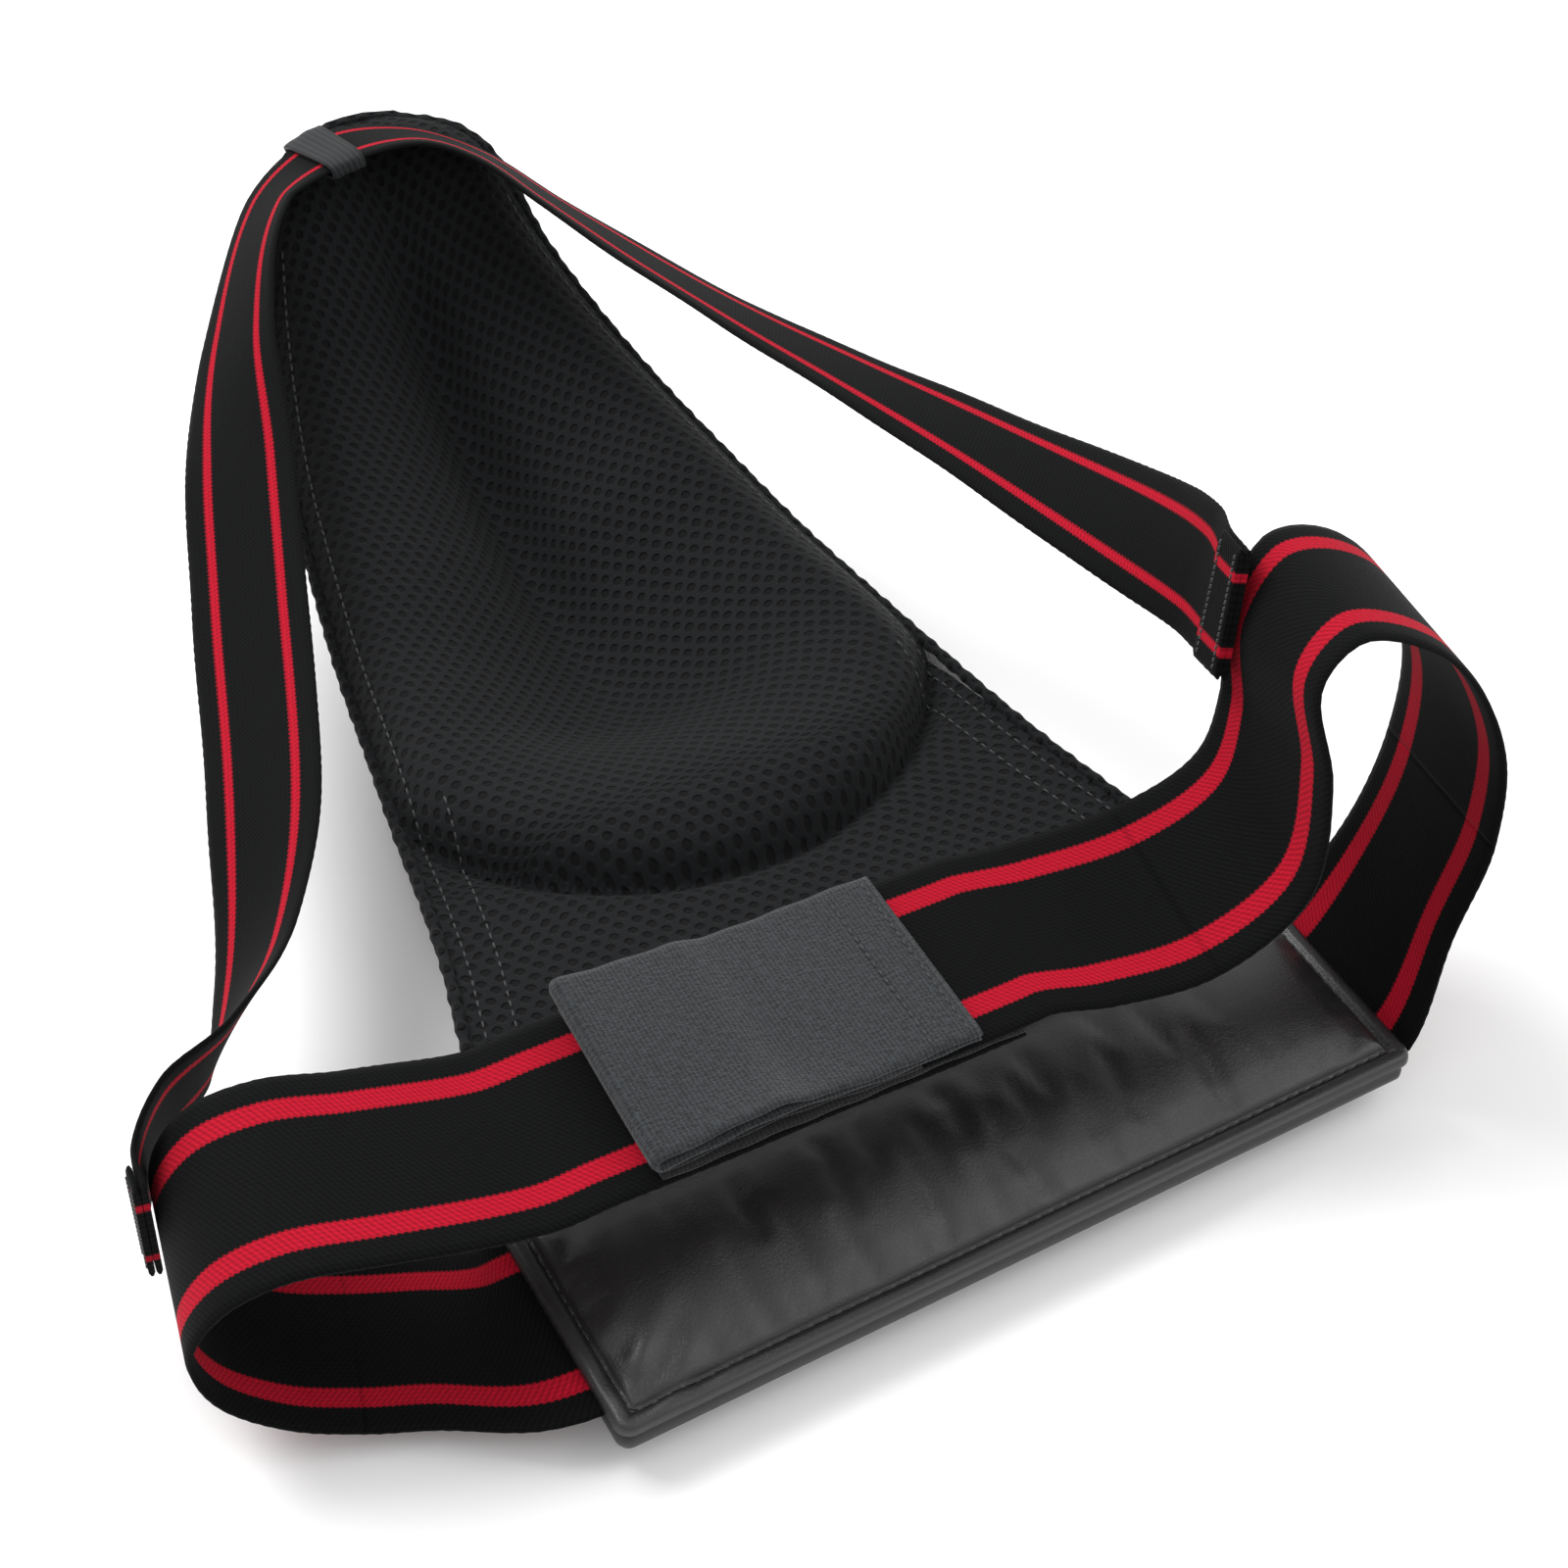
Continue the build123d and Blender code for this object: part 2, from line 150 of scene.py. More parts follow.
def cup_top(y, t):
    """Points of the lined upper surface."""
    half, edge, crest, floor = (curve_through(cup_sections[:, 0], cup_sections[:, k], y)
                                for k in (1, 2, 3, 4))
    crest_at = (half - np.minimum(15.0, half * 0.45)) / half
    a = np.abs(t)
    narrow = np.clip((y - 25) / 60, 0, 1)                    # the bowl draws in to a channel
    marks = [np.zeros_like(a), crest_at * 0.32, crest_at * 0.66, crest_at, 0.5 + 0.5 * crest_at,
             np.ones_like(a)]
    heights = [floor, floor + (crest - floor) * (0.18 + 0.30 * narrow),
               floor + (crest - floor) * (0.62 + 0.20 * narrow),
               crest, crest - 0.22 * (crest - edge), edge + 0.2]
    z = heights[0].copy()
    for k in range(5):
        low, high = marks[k], marks[k + 1]
        s = np.clip((a - low) / (high - low), 0, 1)
        here, there = heights[k], heights[k + 1]
        before, after = heights[max(k - 1, 0)], heights[min(k + 2, 5)]
        left, right = marks[max(k - 1, 0)], marks[min(k + 2, 5)]
        m0 = 0 if k == 0 else (there - before) / (high - left) * (high - low)
        m1 = (after - here) / (right - low) * (high - low)
        piece = (here * (2 * s**3 - 3 * s**2 + 1) + m0 * (s**3 - 2 * s**2 + s)
                 + there * (3 * s**2 - 2 * s**3) + m1 * (s**3 - s**2))
        z = np.where(a >= low, piece, z)
    x = t * half
    behind = groove_radius - np.hypot(x, y - groove_middle)  # how far behind the sewn groove
    behind = np.where(y > groove_middle, 60.0, behind)
    flange = 26.0 - (26.0 - edge) * a**10 + 0.5 * np.sin(x / 23 + 1.1) * np.cos(y / 17)
    roll = np.sqrt(1 - (1 - np.clip(behind / 17, 0, 1)) ** 2)
    z = np.where(behind > 0, flange + (z - flange) * roll, flange)
    z = z - 3.2 * np.exp(-(behind / 3.2) ** 2) * (1 - a**6)
    z = z + 0.35 * np.sin(x / 9 + y / 14) * np.sin(y / 11 - x / 21) * (1 - a**4)
    return np.stack([x, y, z], axis=-1)


def linear(code):
    """An sRGB hex colour as linear red, green, blue and alpha."""
    parts = [int(code[k:k + 2], 16) / 255 for k in (0, 2, 4)]
    return tuple(p / 12.92 if p <= 0.04045 else ((p + 0.055) / 1.055) ** 2.4 for p in parts) + (1.0,)


def add_node(material, kind, settings=None, values=None, links=None):
    """Adds a shader node with its settings, its unlinked sockets' values and its links."""
    made = material.node_tree.nodes.new("ShaderNode" + kind)
    for key, value in (settings or {}).items():
        setattr(made, key, value)
    for socket, value in (values or {}).items():
        made.inputs[socket].default_value = value
    for socket, source in (links or {}).items():
        material.node_tree.links.new(source, made.inputs[socket])
    return made


def new_material(name, roughness, **shader):
    """A material and its Principled shader."""
    material = bpy.data.materials.new(name)
    material.use_nodes = True
    surface = material.node_tree.nodes["Principled BSDF"]
    surface.inputs["Roughness"].default_value = roughness
    for socket, value in shader.items():
        surface.inputs[socket.replace("_", " ")].default_value = value
    return material, surface


def connect(material, surface, sockets):
    """Links the shader's sockets, given by name, to what feeds them."""
    for name, source in sockets.items():
        material.node_tree.links.new(source, surface.inputs[name])


# Knitted polyester air mesh: two staggered sets of round holes through a springy net, 5 mm
# apart. Matt, a little fuzzy, with the holes painted near black: the dark layer under the net and painted shade in
# the hollows.
air_mesh, surface = new_material("polyester_air_mesh_knitted", 0.85, Sheen_Weight=0.02, Sheen_Roughness=0.6,
                                 Specular_IOR_Level=0.2)
place = add_node(air_mesh, "TexCoord").outputs["UV"]
hole_pitch = 0.0049
far = None
for shift in ((0.0, 0.0), (0.5, 0.5)):
    cell = add_node(air_mesh, "VectorMath", {"operation": "MULTIPLY"},
                    {1: (1 / hole_pitch, 1 / (hole_pitch * 1.2), 0)}, {0: place})
    cell = add_node(air_mesh, "VectorMath", {"operation": "ADD"},
                    {1: (shift[0], shift[1], 0)}, {0: cell.outputs[0]})
    cell = add_node(air_mesh, "VectorMath", {"operation": "FRACTION"}, None, {0: cell.outputs[0]})
    cell = add_node(air_mesh, "VectorMath", {"operation": "SUBTRACT"},
                    {1: (0.5, 0.5, 0)}, {0: cell.outputs[0]})
    cell = add_node(air_mesh, "VectorMath", {"operation": "MULTIPLY"},
                    {1: (hole_pitch, hole_pitch * 1.2, 0)}, {0: cell.outputs[0]})
    cell = add_node(air_mesh, "VectorMath", {"operation": "LENGTH"}, None, {0: cell.outputs[0]})
    reach = cell.outputs["Value"]
    if far is not None:
        reach = add_node(air_mesh, "Math", {"operation": "MINIMUM"}, None, {0: far, 1: reach}).outputs[0]
    far = reach
wander = add_node(air_mesh, "TexNoise", None, {"Scale": 420.0, "Detail": 2.0}, {"Vector": place})
wander = add_node(air_mesh, "Math", {"operation": "MULTIPLY_ADD"},
                  {1: 0.0009, 2: -0.00045}, {0: wander.outputs["Fac"]})
far = add_node(air_mesh, "Math", {"operation": "ADD"}, None, {0: far, 1: wander.outputs[0]}).outputs[0]
net = add_node(air_mesh, "MapRange", {"interpolation_type": "SMOOTHSTEP"},
               {"From Min": 0.00085, "From Max": 0.0015}, {"Value": far}).outputs[0]
yarn = add_node(air_mesh, "TexNoise", None, {"Scale": 1500.0, "Detail": 3.0}, {"Vector": place})
tint = add_node(air_mesh, "Mix", {"data_type": "RGBA"}, {"A": linear("08090A"), "B": linear("15181A")},
                {"Factor": yarn.outputs["Fac"]})
# The holes are painted near black: the dark layer under the net, with painted shade in the hollows.
colour = add_node(air_mesh, "Mix", {"data_type": "RGBA"}, {"A": linear("020203")},
                  {"Factor": net, "B": tint.outputs["Result"]})
depth = add_node(air_mesh, "Math", {"operation": "MULTIPLY_ADD"}, {1: 0.12},
                 {0: yarn.outputs["Fac"], 2: net})
bump = add_node(air_mesh, "Bump", None, {"Strength": 0.8, "Distance": 0.0011}, {"Height": depth.outputs[0]})
connect(air_mesh, surface, {"Base Color": colour.outputs["Result"], "Normal": bump.outputs[0]})

rows = np.concatenate([np.linspace(-108.1, 150, 250), np.linspace(151, 193.5, 60)])
across = np.linspace(-1, 1, 141)
grid_y, grid_t = np.meshgrid(rows, across, indexing="ij")
top = cup_top(grid_y, grid_t)
across_run = arc_lengths(top, 1)
along_run = arc_lengths(top, 0)
top_uv = np.stack([across_run - across_run[:, 70:71],
                   np.broadcast_to(along_run[:, 22:23], across_run.shape)], axis=-1)
bottom = cup_floor(grid_y, grid_t, 2.2)[:, ::-1]
bottom[..., 2] = np.minimum(bottom[..., 2], top[:, ::-1, 2] - 1.0)
body_points = np.concatenate([top, bottom], axis=1)
body_uv = np.concatenate([top_uv, top_uv[:, ::-1]], axis=1)
cup_body = grid_object("cup_body", body_points, body_uv, closed_across=True, capped=True)
cup_body.data.materials.append(air_mesh)
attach(cup_body, "guard")
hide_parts("bowl_lining", "flange_lining", "rim_padding", "flange_foam")

# --- Hard cup inside the padding --------------------------------------
# The moulded plastic cup that takes the blow. It is shut in between the outer foam and
# the rim padding, and only held by them.
# Moulded ABS: pale grey and satin, with the faint haze that a tool face leaves.
abs_shell, surface = new_material("abs_moulded_satin", 0.45)
haze = add_node(abs_shell, "TexNoise", None, {"Scale": 900.0, "Detail": 2.0})
tint = add_node(abs_shell, "Mix", {"data_type": "RGBA"}, {"A": linear("B9BABA"), "B": linear("C8C9C9")},
                {"Factor": haze.outputs["Fac"]})
connect(abs_shell, surface, {"Base Color": tint.outputs["Result"]})
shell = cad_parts["cup_shell"]
shell.data.materials.clear()
shell.data.materials.append(abs_shell)

# --- Outer cover ------------------------------------------------------
# Black PU leather over thin foam, one panel drawn round the underside of the cup and the
# flange. It is cut from coated cloth and sewn to the lining along the edge.
# PU leather, embossed with a fine grain: black with a soft sheen, its gloss wandering a little,
# so that broad blurred highlights break up over the cushion.
pu_leather, surface = new_material("pu_leather_embossed", 0.42, Coat_Weight=0.25, Coat_Roughness=0.38)
place = add_node(pu_leather, "TexCoord").outputs["Object"]
grain = add_node(pu_leather, "TexVoronoi", {"feature": "DISTANCE_TO_EDGE"}, {"Scale": 900.0}, {"Vector": place})
crease = add_node(pu_leather, "MapRange", None, {"From Min": 0.0, "From Max": 0.12},
                  {"Value": grain.outputs["Distance"]})
waves = add_node(pu_leather, "TexNoise", None, {"Scale": 60.0, "Detail": 4.0}, {"Vector": place})
height = add_node(pu_leather, "Math", {"operation": "MULTIPLY_ADD"}, {1: 1.6},
                  {0: waves.outputs["Fac"], 2: crease.outputs[0]})
bump = add_node(pu_leather, "Bump", None, {"Strength": 0.16, "Distance": 0.0004}, {"Height": height.outputs[0]})
tint = add_node(pu_leather, "Mix", {"data_type": "RGBA"}, {"A": linear("101011"), "B": linear("19191B")},
                {"Factor": waves.outputs["Fac"]})
gloss = add_node(pu_leather, "MapRange", None, {"From Min": 0.3, "From Max": 0.7, "To Min": 0.38, "To Max": 0.5},
                 {"Value": waves.outputs["Fac"]})
connect(pu_leather, surface, {"Base Color": tint.outputs["Result"],
                              "Roughness": gloss.outputs[0],
                              "Normal": bump.outputs[0]})

rows = np.concatenate([np.linspace(-108.1, 150, 130), np.linspace(151.5, 193.5, 40)])
across = np.sin(np.linspace(-math.pi / 2, math.pi / 2, 81))
grid_y, grid_t = np.meshgrid(rows, across, indexing="ij")
outer = cup_floor(grid_y, grid_t, 0.0)
inner = cup_floor(grid_y, grid_t, 1.1)[:, ::-1]
cover_uv = np.stack([arc_lengths(outer, 1), arc_lengths(outer, 0)], axis=-1)
leather_cover = grid_object("leather_cover", np.concatenate([outer, inner], axis=1)[:, ::-1],
                            np.concatenate([cover_uv, cover_uv[:, ::-1]], axis=1)[:, ::-1],
                            closed_across=True, capped=True)
leather_cover.data.materials.append(pu_leather)
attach(leather_cover, "guard")
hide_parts("outer_cover", "shell_foam")

# --- Hem --------------------------------------------------------------
# The lining is turned over the edge of the leather and sewn down, which leaves a soft
# rolled edge that is lumpy with the holes of the mesh.


def tube_object(name, path, width, height, sides=10):
    """A closed tube along points in millimetres; width and height may vary along it."""
    path = np.asarray(path, float)
    tangent = np.gradient(path, axis=0)
    tangent /= np.linalg.norm(tangent, axis=1, keepdims=True)
    side = np.cross(tangent, (0, 0, 1))
    side /= np.linalg.norm(side, axis=1, keepdims=True)
    lift = np.cross(side, tangent)
    turn = np.linspace(0, 2 * math.pi, sides, endpoint=False)
    w = np.broadcast_to(width, len(path))[:, None, None]
    h = np.broadcast_to(height, len(path))[:, None, None]
    ring = (path[:, None] + side[:, None] * np.cos(turn)[None, :, None] * w
            + lift[:, None] * np.sin(turn)[None, :, None] * h)
    run = np.concatenate([[0], np.cumsum(np.linalg.norm(np.diff(path, axis=0), axis=1))]) / 1000
    uv = np.stack(np.broadcast_arrays(turn[None] * 0.0006 * 3, run[:, None]), axis=-1)
    return grid_object(name, ring, uv, closed_across=True, capped=True)


edge_y = np.concatenate([np.linspace(-108.1, 150, 300), np.linspace(150.5, 193.5, 120)])
edge_x = curve_through(cup_sections[:, 0], cup_sections[:, 1], edge_y) - 0.5
edge_z = curve_through(cup_sections[:, 0], cup_sections[:, 2], edge_y)
right_edge = np.stack([edge_x, edge_y, edge_z], axis=-1)
tip = np.array([(8, 194.3, 108.6), (3, 194.7, 109.0), (-3, 194.7, 109.0), (-8, 194.3, 108.6)])
left_edge = right_edge[::-1] * (-1, 1, 1)
hem_path = np.concatenate([right_edge, tip, left_edge])
hem_run = np.concatenate([[0], np.cumsum(np.linalg.norm(np.diff(hem_path, axis=0), axis=1))])
lumps = 0.14 * np.sin(hem_run * 2 * math.pi / 4.9) + 0.12 * np.sin(hem_run * 0.7)
edge_hem = tube_object("rolled_edge", hem_path, 1.5 + lumps, 1.7 + lumps)
edge_hem.data.materials.append(air_mesh)
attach(edge_hem, "guard")
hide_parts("edge_hem")

# --- Sewing thread ----------------------------------------------------
# Black polyester thread, in lockstitch rows 3 mm long that are sunk a little in what they hold.
# Twisted and dyed: faint light flecks along a dark line.
thread, surface = new_material("polyester_thread_twisted", 0.5, Sheen_Weight=0.15)
twist = add_node(thread, "TexNoise", None, {"Scale": 3000.0, "Detail": 1.0})
tint = add_node(thread, "Mix", {"data_type": "RGBA"}, {"A": linear("101112"), "B": linear("2A2C2E")},
                {"Factor": twist.outputs["Fac"]})
connect(thread, surface, {"Base Color": tint.outputs["Result"]})


def stitch_row(name, path, up, pitch=3.2, length=2.3, radius=0.28):
    """Separate stitches along points in millimetres, lying across the direction `up`."""
    path = np.asarray(path, float)
    up = np.broadcast_to(np.asarray(up, float), path.shape)
    run = np.concatenate([[0], np.cumsum(np.linalg.norm(np.diff(path, axis=0), axis=1))])
    points, faces = [], []
    turn = np.linspace(0, 2 * math.pi, 6, endpoint=False)
    for at in np.arange(pitch / 2, run[-1] - length / 2, pitch):
        ends = [along_line(at + s, run, path) for s in (-length / 2, length / 2)]
        rise = along_line(at, run, up)
        along = ends[1] - ends[0]
        along /= np.linalg.norm(along)
        side = np.cross(along, rise)
        side /= np.linalg.norm(side)
        rise = np.cross(side, along)
        base = len(points)
        for share, size, sink in ((0, 0.3, -0.25), (0.18, 1, 0), (0.82, 1, 0), (1, 0.3, -0.25)):
            centre = ends[0] * (1 - share) + ends[1] * share + rise * sink
            points += [centre + (side * math.cos(a) + rise * math.sin(a)) * radius * size for a in turn]
        for ring in range(3):
            for k in range(6):
                n = (k + 1) % 6
                a = base + ring * 6
                faces.append((a + k, a + n, a + 6 + n, a + 6 + k))
        faces += [tuple(base + k for k in reversed(range(6))), tuple(base + 18 + k for k in range(6))]
    mesh = bpy.data.meshes.new(name)
    mesh.from_pydata([tuple(p / 1000) for p in points], [], faces)
    mesh.polygons.foreach_set("use_smooth", [True] * len(mesh.polygons))
    mesh.materials.append(thread)
    row = bpy.data.objects.new(name, mesh)
    bpy.context.scene.collection.objects.link(row)
    return row


def lining_line(inset, first, last, side):
    """A line on the lining, `inset` in from the edge."""
    y = np.linspace(first, last, 120)
    half = curve_through(cup_sections[:, 0], cup_sections[:, 1], y)
    line = cup_top(y, side * (half - inset) / half)
    line[:, 2] += 0.15
    return line


for side, label in ((1, "right"), (-1, "left")):
    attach(stitch_row("edge_stitches_" + label, lining_line(5.5, -106, 168, side), (0, 0, 1)), "guard")
    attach(stitch_row("flange_seam_" + label, lining_line(13.0, -106, -2, side), (0, 0, 1)), "guard")

# --- Waist belt -------------------------------------------------------
# 50 mm woven elastic, black with two red stripes. Each half comes out of the waist pad's
# seam, curls up in a loop and lies back over the flange, where the closure joins them.


def woven_elastic(name, stripe_middle, stripe_half):
    """Ribbed elastic webbing. UV runs along the strap and across it from its middle, in metres."""
    # Woven polyester elastic: matt, fine diagonal ribs, and stripes whose edges step with the weave.
    # The rib crests are painted lighter and the hollows darker (painted glint and painted shade). Ribs are drawn
    # 1.3 mm apart so that they show.
    material, surface = new_material(name, 0.8, Sheen_Weight=0.02, Sheen_Roughness=0.5, Specular_IOR_Level=0.06)
    place = add_node(material, "TexCoord").outputs["UV"]
    parts = add_node(material, "SeparateXYZ", None, None, {0: place})
    along, across = parts.outputs["X"], parts.outputs["Y"]
    off = add_node(material, "Math", {"operation": "ABSOLUTE"}, None, {0: across}).outputs[0]
    slant = add_node(material, "Math", {"operation": "MULTIPLY_ADD"}, {1: 0.7}, {0: across, 2: along}).outputs[0]
    slant = add_node(material, "Math", {"operation": "MULTIPLY"}, {1: 2 * math.pi / 0.0013}, {0: slant}).outputs[0]
    rib = add_node(material, "Math", {"operation": "SINE"}, None, {0: slant}).outputs[0]
    cross = add_node(material, "Math", {"operation": "MULTIPLY"}, {1: 2 * math.pi / 0.0011}, {0: across}).outputs[0]
    cross = add_node(material, "Math", {"operation": "SINE"}, None, {0: cross}).outputs[0]
    relief = add_node(material, "Math", {"operation": "MULTIPLY_ADD"}, {1: 0.45}, {0: cross, 2: rib}).outputs[0]
    step = add_node(material, "Math", {"operation": "MULTIPLY"}, {1: 0.00022}, {0: rib}).outputs[0]
    gap = add_node(material, "Math", {"operation": "SUBTRACT"}, {1: stripe_middle}, {0: off}).outputs[0]
    gap = add_node(material, "Math", {"operation": "ABSOLUTE"}, None, {0: gap}).outputs[0]
    gap = add_node(material, "Math", {"operation": "ADD"}, None, {0: gap, 1: step}).outputs[0]
    stripe = add_node(material, "MapRange", None,
                      {"From Min": stripe_half + 0.0002, "From Max": stripe_half - 0.0002},
                      {"Value": gap}).outputs[0]
    fuzz = add_node(material, "TexNoise", None, {"Scale": 900.0, "Detail": 3.0}, {"Vector": place}).outputs["Fac"]
    # Colour follows the ribs' relief: painted highlight on their crests and painted shade in their hollows, over a
    # random fuzz of tone. The two blacks and the two reds are shaded and lit copies of one colour.
    painted_rib_light_and_fuzz = add_node(material, "MapRange", None, {"From Min": -1.4, "From Max": 1.4}, {"Value": relief}).outputs[0]
    painted_rib_light_and_fuzz = add_node(material, "Math", {"operation": "MULTIPLY_ADD"}, {1: 0.5}, {0: fuzz, 2: painted_rib_light_and_fuzz}).outputs[0]
    painted_rib_light_and_fuzz = add_node(material, "Math", {"operation": "MULTIPLY"}, {1: 0.7}, {0: painted_rib_light_and_fuzz}).outputs[0]
    black = add_node(material, "Mix", {"data_type": "RGBA"}, {"A": linear("040404"), "B": linear("0F1011")},
                     {"Factor": painted_rib_light_and_fuzz})
    red = add_node(material, "Mix", {"data_type": "RGBA"}, {"A": linear("7A0A1A"), "B": linear("BC152C")},
                   {"Factor": painted_rib_light_and_fuzz})
    tint = add_node(material, "Mix", {"data_type": "RGBA"}, None,
                    {"Factor": stripe, "A": black.outputs["Result"], "B": red.outputs["Result"]})
    bump = add_node(material, "Bump", None, {"Strength": 0.45, "Distance": 0.00022}, {"Height": painted_rib_light_and_fuzz})
    connect(material, surface, {"Base Color": tint.outputs["Result"], "Normal": bump.outputs[0]})
    return material


belt_width, belt_thickness = 50.0, 1.6
closure_tilt = math.radians(4.5)
belt_elastic = woven_elastic("polyester_elastic_woven_50mm", 0.0160, 0.0026)
closure_place = Matrix.Translation((-39.0, 51.0 - origin_at, 49.5)) @ Matrix.Rotation(closure_tilt, 4, "X")


def on_closure(along, level, back=0.0):
    """A point of the closure's stack: along the belt, toward the back edge, and up, in mm."""
    return tuple(closure_place @ Vector((along, back, level)))


closure_across = (0.0, math.cos(closure_tilt), math.sin(closure_tilt))
left_belt_route = [
    ((-93, -140, 15.2), (-0.024, 1, 0.087)), ((-103.8, -140, 14.6), (-0.024, 1, 0.087)),
    ((-111.5, -135.5, 10), (0.14, 1, 0)), ((-124, -125, 5), (0.27, 1, -0.1)),
    ((-138, -119, 5.5), (0.28, 1, -0.1)), ((-152, -113.5, 9), (0.26, 1, -0.1)),
    ((-165, -108, 19), (0.2, 1, -0.08)), ((-169, -105, 35), (0.18, 1, 0.04)),
    ((-161, -106.5, 49), (0.22, 1, 0.12)), ((-147, -110.5, 55.5), (0.25, 1, 0.1)),
    ((-129, -115.5, 55), (0.2, 1, 0.06)),
] + [(on_closure(x, 0.8), closure_across) for x in (-62, -48, -39, 0, 51)]
right_belt_route = [(on_closure(x, 4.4), closure_across) for x in (25, 40, 53, 58)] + [
    ((33, -124, 55), (0.04, 1, 0.12)), ((56, -131, 61), (0.08, 1, 0.14)),
    ((74, -135, 76), (0.1, 1, 0)), ((79, -132, 97), (0.18, 1, -0.26)),
    ((80, -125, 117), (0.25, 1, -0.3)), ((91, -124, 129), (0.24, 1, -0.17)),
    ((111, -129, 121), (0.21, 1, -0.07)), ((126, -135, 95), (0.23, 1, -0.05)),
    ((128, -137, 67), (0.22, 1, -0.12)), ((122, -137, 41), (0.2, 1, -0.1)),
    ((109, -139, 15.2), (-0.024, 1, 0.087)), ((98, -138.8, 15.2), (-0.024, 1, 0.087)),
]


def strap_frames(route, squared, step=1.5):
    """Evenly spaced centres, across and face directions along a smooth strap."""
    centres = np.array([c for c, a in route], float)
    directions = np.array([a for c, a in route], float)
    directions /= np.linalg.norm(directions, axis=1, keepdims=True)
    run = np.concatenate([[0], np.cumsum(np.linalg.norm(np.diff(centres, axis=0), axis=1))])
    at = np.linspace(0, run[-1], max(4, int(run[-1] / step)))
    line = np.stack([curve_through(run, centres[:, k], at) for k in range(3)], axis=-1)
    across = np.stack([curve_through(run, directions[:, k], at) for k in range(3)], axis=-1)
    along = np.gradient(line, axis=0)
    along /= np.linalg.norm(along, axis=1, keepdims=True)
    if squared:
        across = across - along * np.sum(across * along, axis=1, keepdims=True)
    across /= np.linalg.norm(across, axis=1, keepdims=True)
    face = np.cross(along, across)
    face /= np.linalg.norm(face, axis=1, keepdims=True)
    return at, run, line, across, face


def strap_object(name, route, width, thickness, first, last, material, squared=False, lift=0.0):
    """Webbing between two stations of a route, with rounded selvedges and a slight set across it."""
    at, run, line, across, face = strap_frames(route, squared)
    low, high = np.interp([first, last], np.arange(len(run)), run)
    marks = np.concatenate([[low], at[(at > low + 0.3) & (at < high - 0.3)], [high]])
    line, across, face = (along_line(marks, at, v) for v in (line, across, face))
    half = width / 2
    u = np.concatenate([np.linspace(-1, 1, 23), np.linspace(1, -1, 23)])
    upper = np.concatenate([np.ones(23), -np.ones(23)])
    edge = np.clip((1 - np.abs(u)) / 0.035, 0, 1)
    level = upper * thickness / 2 * (0.35 + 0.65 * np.sqrt(1 - (1 - edge) ** 2))
    offset = level[None] + lift + 0.22 * np.sin(marks / 8.3)[:, None] * (u**3)[None]
    spread = u[None] * (half + 0.08 * np.sin(marks * 2.3)[:, None])
    points = line[:, None] + across[:, None] * spread[..., None] + face[:, None] * offset[..., None]
    uv = np.stack(np.broadcast_arrays(marks[:, None] / 1000, u[None] * width / 2000), axis=-1)
    piece = grid_object(name, points, uv, closed_across=True, capped=True)
    piece.data.materials.append(material)
    return piece, (high - low) / 1000


# name, route, first and last station, what it lies on, CAD node, and the joint that it crosses
belt_runs = (
    ("belt_left_lower", left_belt_route, 0, 4, "pad_base", "belt_anchor_left",
     ("waist_pad", (-0.104, -0.14, 0.012), (-0.137, -0.14, 0.012))),
    ("belt_left_loop", left_belt_route, 4, 15, "cup_body", "belt_left", None),
    ("belt_right_top", right_belt_route, 0, 5, "cup_body", "belt_right_end",
     ("closure_slider", (0.014, -0.12, 0.05), (0.055, -0.12, 0.05))),
    ("belt_right_loop", right_belt_route, 5, 12, "belt_right_top", "belt_right", None),
    ("belt_right_lower", right_belt_route, 12, 15, "pad_base", "belt_anchor_right",
     ("waist_pad", (0.109, -0.139, 0.016), (0.127, -0.137, 0.062))),
)
for name, route, first, last, under, node, joint in belt_runs:
    piece, length = strap_object(name, route, belt_width, belt_thickness, first, last, belt_elastic)
    if joint:
        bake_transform(piece)
    else:
        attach(piece, "guard")
    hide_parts(node)

